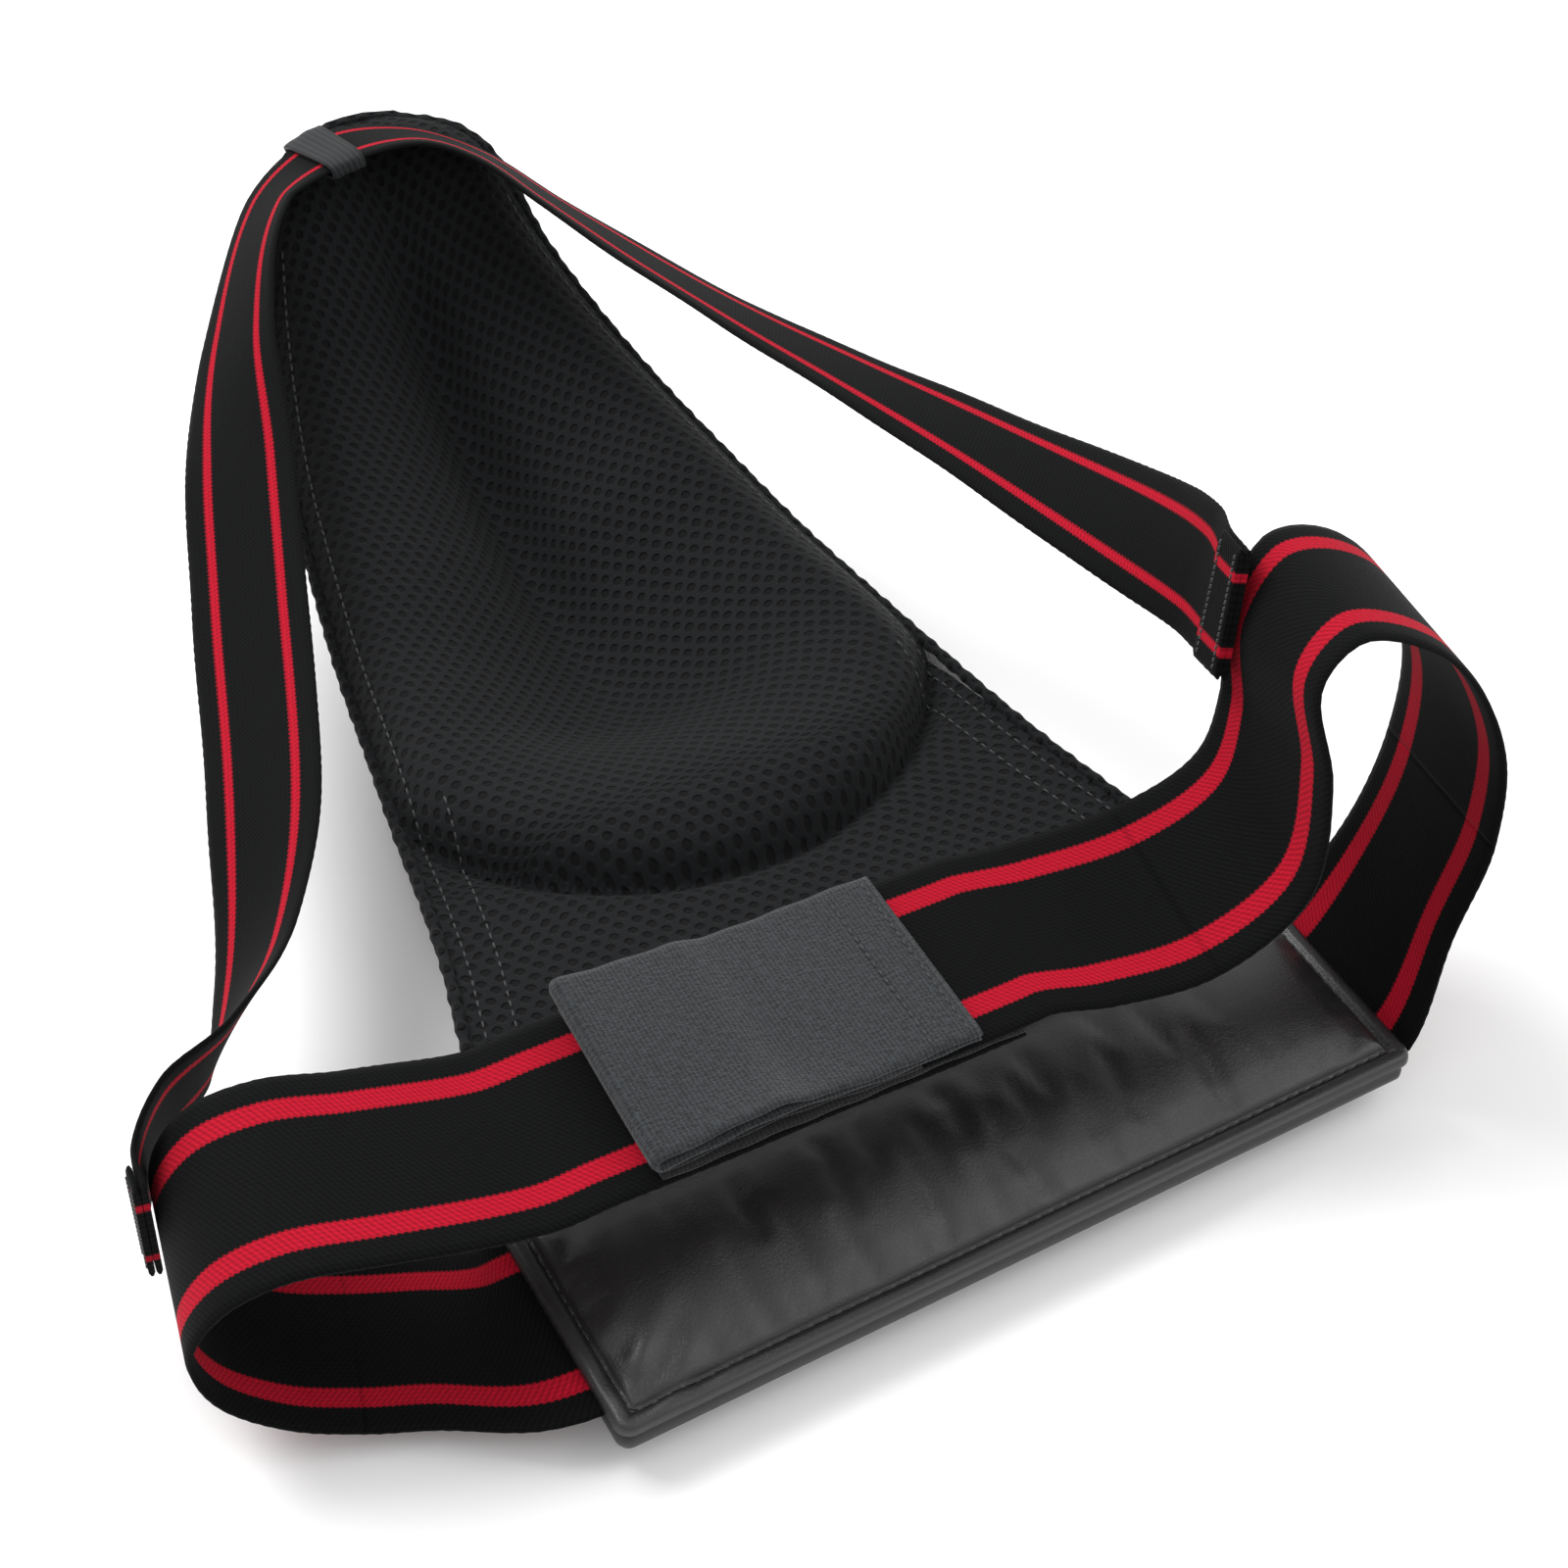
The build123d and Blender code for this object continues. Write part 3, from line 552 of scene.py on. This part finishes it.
# --- Leg strap --------------------------------------------------------
# 30 mm woven elastic with two thin red stripes. It is sewn to the left belt's loop, runs
# through the keeper on the tip, and back to the right belt, where its end is turned and sewn.
leg_width, leg_thickness = 30.0, 1.4
leg_elastic = woven_elastic("polyester_elastic_woven_30mm", 0.0087, 0.0011)
leg_route = [
    ((-169.6, -97, 37), (0, 0.1, -1)), ((-167.5, -84, 38), (0, 0.1, -1)),
    ((-158, -71, 41), (-0.1, 0.2, -1)), ((-141, -62, 45), (-0.2, 0.35, -0.9)),
    ((-125, -40, 46), (-0.5, 0.5, -0.7)), ((-108, -3, 53), (-0.8, 0.45, -0.4)),
    ((-87, 60, 63), (-0.87, 0.43, -0.24)), ((-73, 101, 73), (-0.83, 0.5, -0.26)),
    ((-58, 139, 86), (-0.4, 0.76, -0.5)), ((-36, 169, 104.6), (-0.07, 0.9, -0.4)),
    ((-14, 175, 112.8), (0.03, 0.96, -0.2)), ((8, 173, 112.6), (0.15, 0.94, -0.3)),
    ((24, 163, 107.6), (0.36, 0.85, -0.4)), ((38, 146, 98), (0.6, 0.7, -0.5)),
    ((55, 116, 88.5), (0.8, 0.5, -0.5)), ((69, 84, 84), (0.88, 0.4, -0.4)),
    ((80, 56, 82.5), (0.92, 0.33, -0.25)), ((90, 20, 84), (0.94, 0.26, -0.05)),
    ((96, -22, 89.5), (0.9, 0.2, 0.25)), ((96, -58, 98), (0.72, 0.18, 0.6)),
    ((91, -84, 107), (0.45, 0.2, 0.85)), ((84.4, -100, 112.5), (0.28, 0.27, 0.9)),
    ((80.6, -112, 116), (0.25, 0.3, 0.9)),
]
leg_strap, length = strap_object("leg_webbing", leg_route, leg_width, leg_thickness,
                                 0, len(leg_route) - 1, leg_elastic, squared=True)
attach(leg_strap, "guard")
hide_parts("leg_strap")
for label, first, last, rows in (("left", 0.0, 0.5, (0.1, 0.4)), ("right", 21.0, 22.0, (21.15, 21.85))):
    fold, length = strap_object("leg_end_" + label, leg_route, leg_width, leg_thickness,
                                first, last, leg_elastic, squared=True, lift=leg_thickness + 0.2)
    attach(fold, "guard")
    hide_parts("leg_fold_" + label, "bartack_" + label)
    at, run, line, across, face = strap_frames(leg_route, True)
    for number, mark in enumerate(rows):
        s = np.interp(mark, np.arange(len(run)), run)
        centre, side, up = (along_line(s, at, v) for v in (line, across, face))
        path = np.array([centre + side * w + up * 2.35 for w in np.linspace(-13.5, 13.5, 12)])
        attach(stitch_row(f"bartack_{label}_{number}", path, up, pitch=1.5, length=1.3, radius=0.34), "guard")

# --- Keeper -----------------------------------------------------------
# A short sleeve of plain black webbing, sewn to the shoulder of the tip, that the leg strap
# slides through. Polypropylene: a little glossy, with plain ribs across it.
keeper_web, surface = new_material("polypropylene_webbing_plain", 0.6, Sheen_Weight=0.03,
                                   Specular_IOR_Level=0.2)
place = add_node(keeper_web, "TexCoord").outputs["UV"]
ribs = add_node(keeper_web, "TexWave", {"bands_direction": "X"}, {"Scale": 190.0, "Distortion": 0.6},
                {"Vector": place})
tint = add_node(keeper_web, "Mix", {"data_type": "RGBA"}, {"A": linear("0E0F10"), "B": linear("202225")},
                {"Factor": ribs.outputs["Fac"]})
bump = add_node(keeper_web, "Bump", None, {"Strength": 0.4, "Distance": 0.0003}, {"Height": ribs.outputs["Fac"]})
connect(keeper_web, surface, {"Base Color": tint.outputs["Result"], "Normal": bump.outputs[0]})
at, run, line, across, face = strap_frames(leg_route, True)
low, high = np.interp([9.7, 10.14], np.arange(len(run)), run)
marks = np.linspace(low, high, 12)
turn = np.linspace(0, 2 * math.pi, 48, endpoint=False)
bulge = np.array([1 + 0.03 * math.sin(k * 1.1) for k in range(12)])
centre, side, up = (along_line(marks, at, v) for v in (line, across, face))
rings = []
for wall in (0.0, 1.1):
    half_w, half_h = 16.4 + wall, 1.7 + wall
    w = half_w * np.sign(np.cos(turn)) * np.abs(np.cos(turn)) ** 0.35
    h = half_h * np.sign(np.sin(turn)) * np.abs(np.sin(turn)) ** 0.6
    rings.append(centre[:, None] + side[:, None] * w[None, :, None] * bulge[:, None, None] ** 0.3
                 + up[:, None] * h[None, :, None] * bulge[:, None, None])
sleeve_points = np.concatenate([rings[1], rings[0][::-1], rings[1][:1]], axis=0)
sleeve_run = np.concatenate([marks, marks[::-1], marks[:1]]) / 1000
sleeve_uv = np.stack(np.broadcast_arrays(sleeve_run[:, None], (w / 1000)[None]), axis=-1)
keeper = grid_object("keeper_sleeve", sleeve_points, sleeve_uv, closed_across=True)
weld(keeper, 0.00001)
keeper.data.materials.append(keeper_web)
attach(keeper, "guard")
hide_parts("keeper_loop")

# --- Closure ----------------------------------------------------------
# Grey loop tape, folded double and sewn to the right belt's end, with hook tape under it that
# grips the loop patch on the left belt. Its back left corner has let go and stands up.


def brushed_tape(name, dark, light, rib):
    """Nylon loop or hook tape: a fuzzy pile over fine ribs across the belt, quite matt."""
    material, surface = new_material(name, 0.95, Sheen_Weight=0.12, Sheen_Roughness=0.7, Specular_IOR_Level=0.2)
    place = add_node(material, "TexCoord").outputs["UV"]
    stretched = add_node(material, "VectorMath", {"operation": "MULTIPLY"}, {1: (0.3, 1.0, 1.0)}, {0: place})
    dashes = add_node(material, "TexNoise", None, {"Scale": rib, "Detail": 2.0}, {"Vector": stretched.outputs[0]})
    ribs = add_node(material, "TexWave", {"bands_direction": "X"},
                    {"Scale": 300.0, "Distortion": 4.0, "Detail": 2.0, "Detail Scale": 4.0}, {"Vector": place})
    lines = add_node(material, "Math", {"operation": "MULTIPLY_ADD"}, {1: 0.34},
                     {0: ribs.outputs["Fac"], 2: dashes.outputs["Fac"]})
    pile = add_node(material, "TexNoise", None, {"Scale": 2200.0, "Detail": 3.0}, {"Vector": place})
    both = add_node(material, "Math", {"operation": "MULTIPLY_ADD"}, {1: 0.6},
                    {0: pile.outputs["Fac"], 2: lines.outputs[0]})
    both = add_node(material, "MapRange", None, {"From Min": 0.72, "From Max": 1.22}, {"Value": both.outputs[0]})
    tint = add_node(material, "Mix", {"data_type": "RGBA"}, {"A": linear(dark), "B": linear(light)},
                    {"Factor": both.outputs[0]})
    bump = add_node(material, "Bump", None, {"Strength": 0.6, "Distance": 0.00035}, {"Height": both.outputs[0]})
    connect(material, surface, {"Base Color": tint.outputs["Result"], "Normal": bump.outputs[0]})
    return material


# Grey brushed loops, and the black hooks that the fuzz of the other tape hides.
loop_tape = brushed_tape("nylon_loop_tape_brushed", "0D0F10", "2B2F33", 1500.0)
hook_tape = brushed_tape("nylon_hook_tape", "060607", "151618", 1400.0)


def corner_lift(along, back):
    """How far the tab stands up at its loose back left corner and along its wavy front edge, in mm."""
    a = np.clip((8 - along) / 47, 0, 1)
    b = np.clip((back + 25) / 50, 0, 1)
    front = np.clip((-back - 8) / 17, 0, 1) ** 2
    wave = front * (1.3 * np.sin(along / 11.0 + 2.6) + 1.0) * np.clip((36 - along) / 20, 0, 1)
    return 3.6 * a**2 * b**1.6 + wave


def closure_points(along, back, level):
    """Places in the closure's stack as points of the frame, in millimetres."""
    place = np.array(closure_place)
    return np.stack([along, back, level], axis=-1) @ place[:3, :3].T + place[:3, 3]


def tape_profile():
    """Round the section of a tape: share of its half width, side, and how full its edge is."""
    u = np.concatenate([np.linspace(-1, 1, 41), np.linspace(1, -1, 41)])
    side = np.concatenate([np.ones(41), -np.ones(41)])
    return u, side, np.sqrt(1 - (1 - np.clip((1 - np.abs(u)) / 0.03, 0, 1)) ** 2)


def plate_object(name, left, right, low, thickness, material, width, loose=False):
    """A flat layer of the closure with rounded edges; a loose one follows the tab's lift."""
    along = np.linspace(left, right, max(8, int((right - left) / 1.2)))
    u, side, edge = tape_profile()
    a, b = np.meshgrid(along, u * width / 2, indexing="ij")
    round_end = np.sqrt(1 - (1 - np.clip((a - left) / 0.5, 0, 1)) ** 2)
    shut = np.sqrt(1 - (1 - np.clip((right - a) / 0.6 + 0.2, 0, 1)) ** 2)
    thinning = (0.2 + 0.8 * edge[None]) * (0.08 + 0.92 * round_end) * shut
    z = low + thickness / 2 + side[None] * thickness / 2 * thinning
    z = z + 0.18 * np.sin(a / 6.1) * np.cos(b / 9.0)
    if loose:
        z = z + corner_lift(a, b)
    points = closure_points(a, b + 0.15 * np.sin(a / 2.1), z)
    piece = grid_object(name, points, np.stack([a, b], axis=-1) / 1000, closed_across=True, capped=True)
    piece.data.materials.append(material)
    return piece


def folded_tape(name, levels, fold, right, thickness, material, width=50.0):
    """Tape doubled over: it runs left at the lower level, round the fold, and back at the upper one."""
    low, high = levels
    radius = (high - low) / 2
    bend = np.linspace(-math.pi / 2, -3 * math.pi / 2, 14)
    run_in = np.linspace(right, fold, 60)
    x = np.concatenate([run_in[:-1], fold + radius * np.cos(bend), run_in[::-1][1:]])
    z = np.concatenate([np.full(59, low), (low + high) / 2 + radius * np.sin(bend), np.full(59, high)])
    close = np.clip((x - fold - 26) / 10, 0, 1)
    z = z + (high - low - thickness - 0.15) * -np.where(z > (low + high) / 2, 1, 0) * close**2 * (3 - 2 * close)
    tangent = np.stack([np.gradient(x), np.gradient(z)], axis=-1)
    tangent /= np.linalg.norm(tangent, axis=1, keepdims=True)
    normal = np.stack([tangent[:, 1], -tangent[:, 0]], axis=-1)
    run = np.concatenate([[0], np.cumsum(np.hypot(np.diff(x), np.diff(z)))])
    u, side, edge = tape_profile()
    edge = 0.3 + 0.7 * edge
    b = np.broadcast_to(u * width / 2, (len(x), 82)) + 0.15 * np.sin(run / 2.1)[:, None]
    a = x[:, None] + normal[:, :1] * side * thickness / 2 * edge
    level = z[:, None] + normal[:, 1:] * side * thickness / 2 * edge + corner_lift(x[:, None], b)
    level = level + 0.18 * np.sin(x / 6.1)[:, None] * np.cos(b / 9.0)
    uv = np.stack(np.broadcast_arrays(run[:, None] / 1000, u[None] * width / 2000), axis=-1)
    piece = grid_object(name, closure_points(a, b, level), uv, closed_across=True, capped=True)
    piece.data.materials.append(material)
    return piece


tab = folded_tape("tab_tape", (6.2, 9.6), -37.0, 39.0, 1.6, loop_tape)
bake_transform(tab)
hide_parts("closure_tab", "tab_sewn_end")
hooks = plate_object("hook_tape", -37, 24.5, 3.6, 1.5, hook_tape, width=49.0, loose=True)
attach(hooks, "tab")
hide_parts("hook_strip")
patch = plate_object("belt_loop_patch", -37, 51, 1.8, 1.4, hook_tape, width=49.6)
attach(patch, "guard")
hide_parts("loop_patch")


def tab_line(along):
    """A line across the top of the tab, from its front edge to its back one."""
    return [on_closure(along, 8.9 + corner_lift(along, y), y) for y in np.linspace(-23.5, 23.5, 40)]


up = (0.0, -math.sin(closure_tilt), math.cos(closure_tilt))
for number, along in enumerate((36.5, 27.5)):
    row = stitch_row(f"tab_stitches_{number}", tab_line(along), up, pitch=2.6, length=1.9)
    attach(row, "closure_slider")

# --- Waist pad --------------------------------------------------------
# A long cushion of black PU leather over foam, with a turned edge outside its stitch line,
# on a second padded layer. The belt ends are caught in the seam between the two.
pad_place = (Matrix.Translation((3.0, -origin_at, 4.5)) @ Matrix.Rotation(math.radians(5.0), 4, "X")
             @ Matrix.Rotation(math.radians(1.4), 4, "Z"))
pad_width, pad_depth = 208.0, 56.5
stitch_inset = 4.6              # from the pad's outline to its row of stitches


def pad_ring(margin, corner=3.6):
    """Points round the pad's outline, `margin` inside it."""
    half_x, half_y = pad_width / 2 - margin, pad_depth / 2 - margin
    r = min(max(corner - margin, 0.6), max(half_y, 0.02))
    ring = []
    for quarter, (sx, sy) in enumerate(((1, 1), (-1, 1), (-1, -1), (1, -1))):
        for k in range(13):
            turn = math.radians(quarter * 90 + k * 7.5)
            ring.append((sx * (half_x - r) + r * math.cos(turn), sy * (half_y - r) + r * math.sin(turn)))
    dense = []
    for k, (x0, y0) in enumerate(ring):
        x1, y1 = ring[(k + 1) % len(ring)]
        steps = 90 if k % 26 == 12 else 26 if k % 13 == 12 else 1
        dense += [(x0 + (x1 - x0) * s / steps, y0 + (y1 - y0) * s / steps) for s in range(steps)]
    return np.array(dense)


def pucker(x, y):
    """Folds that the seam draws in at the front left corner and along the front edge."""
    near = np.exp(-(((x + 92) / 13) ** 2 + ((y + 20) / 11) ** 2))
    dip = -1.5 * near * np.cos((x + 92) * 0.42 - (y + 20) * 0.5)
    front = 0.35 * np.sin(x / 11.0 + 0.6) * np.exp(-((y + 21) / 6.0) ** 2)
    rear = 0.3 * np.sin(x / 17.0) * np.exp(-((y - 20) / 7.0) ** 2)
    return dip + front + rear


def sewn_panel(width, depth, excess):
    """Heights of a leather panel, cut a little too big, sewn down all round and pushed up by foam.

    It is worked out at ten times its size, which suits the cloth solver.
    """
    xs, ys = np.linspace(-width / 2, width / 2, 95), np.linspace(-depth / 2, depth / 2, 21)
    gx, gy = np.meshgrid(xs, ys, indexing="ij")
    start = 2.6 * (1 - (2 * gx / width) ** 6) * (1 - (2 * gy / depth) ** 2) + 0.1 * np.sin(gx / 5) * np.sin(gy / 4)
    panel = grid_object("panel_on_trial", np.stack([gx, gy, start], axis=-1) * 10, np.zeros(gx.shape + (2,)))
    rim = np.zeros(gx.shape, bool)
    rim[0] = rim[-1] = rim[:, 0] = rim[:, -1] = True
    sewn = panel.vertex_groups.new(name="sewn")
    sewn.add([int(k) for k in np.flatnonzero(rim.ravel())], 1.0, "REPLACE")
    cloth = panel.modifiers.new("leather", "CLOTH")
    cloth.settings.quality = 8
    cloth.settings.mass = 0.4
    cloth.settings.tension_stiffness = cloth.settings.compression_stiffness = 40
    cloth.settings.shear_stiffness = 20
    cloth.settings.bending_stiffness = 6
    cloth.settings.shrink_min = cloth.settings.shrink_max = -excess
    cloth.settings.vertex_group_mass = "sewn"
    cloth.collision_settings.use_collision = False
    bpy.context.scene.gravity = (0, 0, 9.8)
    for step in range(1, 41):
        bpy.context.scene.frame_set(step)
    settled = panel.evaluated_get(bpy.context.evaluated_depsgraph_get()).to_mesh()
    start = np.array([v.co.z for v in settled.vertices]).reshape(gx.shape) * 100
    bpy.context.scene.gravity = (0, 0, -9.8)
    bpy.context.scene.frame_set(1)
    bpy.data.objects.remove(panel)
    return xs, ys, np.clip(start, -0.5, 6.0)


panel_x, panel_y, panel_z = sewn_panel(pad_width - 2 * stitch_inset, pad_depth - 2 * stitch_inset, 0.02)


def over_panel(x, y):
    """The panel's height at a place, between its grid points."""
    i = np.clip(np.searchsorted(panel_x, x) - 1, 0, len(panel_x) - 2)
    j = np.clip(np.searchsorted(panel_y, y) - 1, 0, len(panel_y) - 2)
    s = np.clip((x - panel_x[i]) / (panel_x[i + 1] - panel_x[i]), 0, 1)
    t = np.clip((y - panel_y[j]) / (panel_y[j + 1] - panel_y[j]), 0, 1)
    return ((panel_z[i, j] * (1 - t) + panel_z[i, j + 1] * t) * (1 - s)
            + (panel_z[i + 1, j] * (1 - t) + panel_z[i + 1, j + 1] * t) * s)


def facing_height(margin, x, y):
    """Upper face of the pad: a turned edge, a sewn line and the panel the foam pushes up."""
    roll = 9.4 + 2.4 * np.sqrt(np.clip(1 - (1 - np.clip(margin / 1.5, 0, 1)) ** 2, 0, 1))
    crown = 11.6 + 1.1 * np.clip((margin - 5.0) / 8, 0, 1) ** 0.6 + over_panel(x, y) * 0.9
    seam = -1.2 * np.exp(-((margin - stitch_inset) / 0.8) ** 2)
    blend = 1 / (1 + np.exp(-(margin - 4.2) / 0.4))
    return roll * (1 - blend) + crown * blend + seam + 0.4 * pucker(x, y) * np.clip(margin / 4, 0, 1)


def pad_object(name, layers):
    """A closed cushion from rings given as (points, heights), bottom to top."""
    points = []
    for ring, z in layers:
        z = np.broadcast_to(z, len(ring))
        world = [pad_place @ Vector((x, y + pad_depth / 2, h)) for (x, y), h in zip(ring, z)]
        points.append([tuple(p) for p in world])
    points = np.array(points)
    uv = np.stack([points[..., 0], points[..., 1]], axis=-1) / 1000
    piece = grid_object(name, points, uv, closed_across=True)
    weld(piece, 0.00006)                                     # shuts the slit inside the last rings
    piece.data.materials.append(pu_leather)
    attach(piece, "waist_pad")
    return piece


layers = [(pad_ring(28.23), 8.6), (pad_ring(4.0), 8.6), (pad_ring(1.0), 8.6), (pad_ring(0.25), 9.0)]
for margin in np.concatenate([[0.0, 0.25, 0.6, 1.1, 1.8], np.arange(2.6, 10, 0.55),
                              np.arange(10.2, 27.9, 1.4), [28.23]]):
    ring = pad_ring(margin)
    layers.append((ring, facing_height(margin, ring[:, 0], ring[:, 1])))
pad_facing = pad_object("pad_cushion", layers)
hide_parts("pad_facing", "pad_foam")
base_rings = ((28.23, 0.3), (12.0, 0.6), (7.0, 2.2), (2.4, 2.6), (1.0, 3.0), (0.5, 4.0), (0.6, 5.4), (1.4, 6.4),
              (4.0, 6.7), (28.23, 6.7))
pad_backing = pad_object("pad_base", [(pad_ring(margin), level) for margin, level in base_rings])
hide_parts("pad_backing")
seam_rings = ((28.23, 6.7), (3.0, 6.7), (2.2, 7.0), (2.0, 7.7), (2.4, 8.4), (28.23, 8.4))
pad_welt = pad_object("pad_seam", [(pad_ring(margin), level) for margin, level in seam_rings])
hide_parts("pad_welt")
ring = pad_ring(stitch_inset)
heights = facing_height(stitch_inset, ring[:, 0], ring[:, 1]) + 0.3
path = [tuple(pad_place @ Vector((x, y + pad_depth / 2, z))) for (x, y), z in zip(ring, heights)]
row = stitch_row("pad_stitches", path + path[:1], (0, -0.087, 1), pitch=3.4, length=2.5, radius=0.3)
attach(row, "waist_pad")

# --- Seam tape --------------------------------------------------------
# A narrow strip of webbing that hinges the waist pad to the front of the flange.
columns = np.linspace(-92, 93, 90)
profile = [(-113.2, 17.0), (-111.5, 18.5), (-109.5, 20.5), (-108.0, 22.5), (-107.2, 21.0), (-109.0, 19.0),
           (-111.0, 16.6), (-113.0, 15.8)]
points = np.array([[(x, y - 0.0244 * x, z) for y, z in profile] for x in columns])
seam_tape = grid_object("seam_strip", points, np.stack([points[..., 1], points[..., 0]], axis=-1) / 1000,
                        closed_across=True, capped=True)
seam_tape.data.materials.append(keeper_web)
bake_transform(seam_tape)
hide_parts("seam_tape")

# --- Floor, light and camera ------------------------------------------
# A pale seamless table, a big soft lamp high behind and to the left, and a soft fill.
paper, surface = new_material("white_paper_matt", 0.9)
speck = add_node(paper, "TexNoise", None, {"Scale": 40.0, "Detail": 3.0})
tint = add_node(paper, "Mix", {"data_type": "RGBA"}, {"A": linear("F4F4F4"), "B": linear("FAFAFA")},
                {"Factor": speck.outputs["Fac"]})
connect(paper, surface, {"Base Color": tint.outputs["Result"]})
floor_mesh = bpy.data.meshes.new("floor")
floor_mesh.from_pydata([(-6, -6, 0), (6, -6, 0), (6, 6, 0), (-6, 6, 0)], [], [(0, 1, 2, 3)])
floor_mesh.materials.append(paper)
floor = bpy.data.objects.new("floor", floor_mesh)
bpy.context.scene.collection.objects.link(floor)
floor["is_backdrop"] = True

world = bpy.data.worlds.new("studio")
bpy.context.scene.world = world
world.use_nodes = True
world.node_tree.nodes["Background"].inputs["Color"].default_value = (1, 1, 1, 1)
world.node_tree.nodes["Background"].inputs["Strength"].default_value = 0.85
bpy.context.scene.view_settings.view_transform = "Standard"


def soft_lamp(name, place, aim, size, power):
    """A square area lamp turned to a point."""
    lamp = bpy.data.lights.new(name, "AREA")
    lamp.shape, lamp.size, lamp.energy = "SQUARE", size, power
    holder = bpy.data.objects.new(name, lamp)
    holder.location = place
    holder.rotation_euler = (Vector(aim) - Vector(place)).to_track_quat("-Z", "Y").to_euler()
    bpy.context.scene.collection.objects.link(holder)


soft_lamp("key_lamp", (-0.55, 0.75, 1.35), (0, 0, 0), 0.9, 22)
soft_lamp("fill_lamp", (0.9, -0.7, 1.1), (0, 0, 0), 1.2, 6)

azimuth, elevation, roll, distance = math.radians(-30), math.radians(42), math.radians(1.4), 0.696
target = Vector((0.032, -0.002, 0.0))
back = Vector((math.sin(azimuth) * math.cos(elevation), -math.cos(azimuth) * math.cos(elevation),
               math.sin(elevation)))
right = (-back).cross(Vector((0, 0, 1))).normalized()
above = right.cross(-back)
right, above = right * math.cos(roll) + above * math.sin(roll), above * math.cos(roll) - right * math.sin(roll)
camera = bpy.data.objects.new("camera", bpy.data.cameras.new("camera"))
camera.data.lens, camera.data.sensor_width, camera.data.sensor_height = 60.0, 36.0, 36.0
camera.data.clip_start, camera.data.clip_end = 0.01, 50.0
camera.matrix_world = Matrix((
    (right.x, above.x, back.x, 0), (right.y, above.y, back.y, 0), (right.z, above.z, back.z, 0), (0, 0, 0, 1)))
camera.location = target + back * distance
bpy.context.scene.collection.objects.link(camera)
bpy.context.scene.camera = camera

low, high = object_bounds()
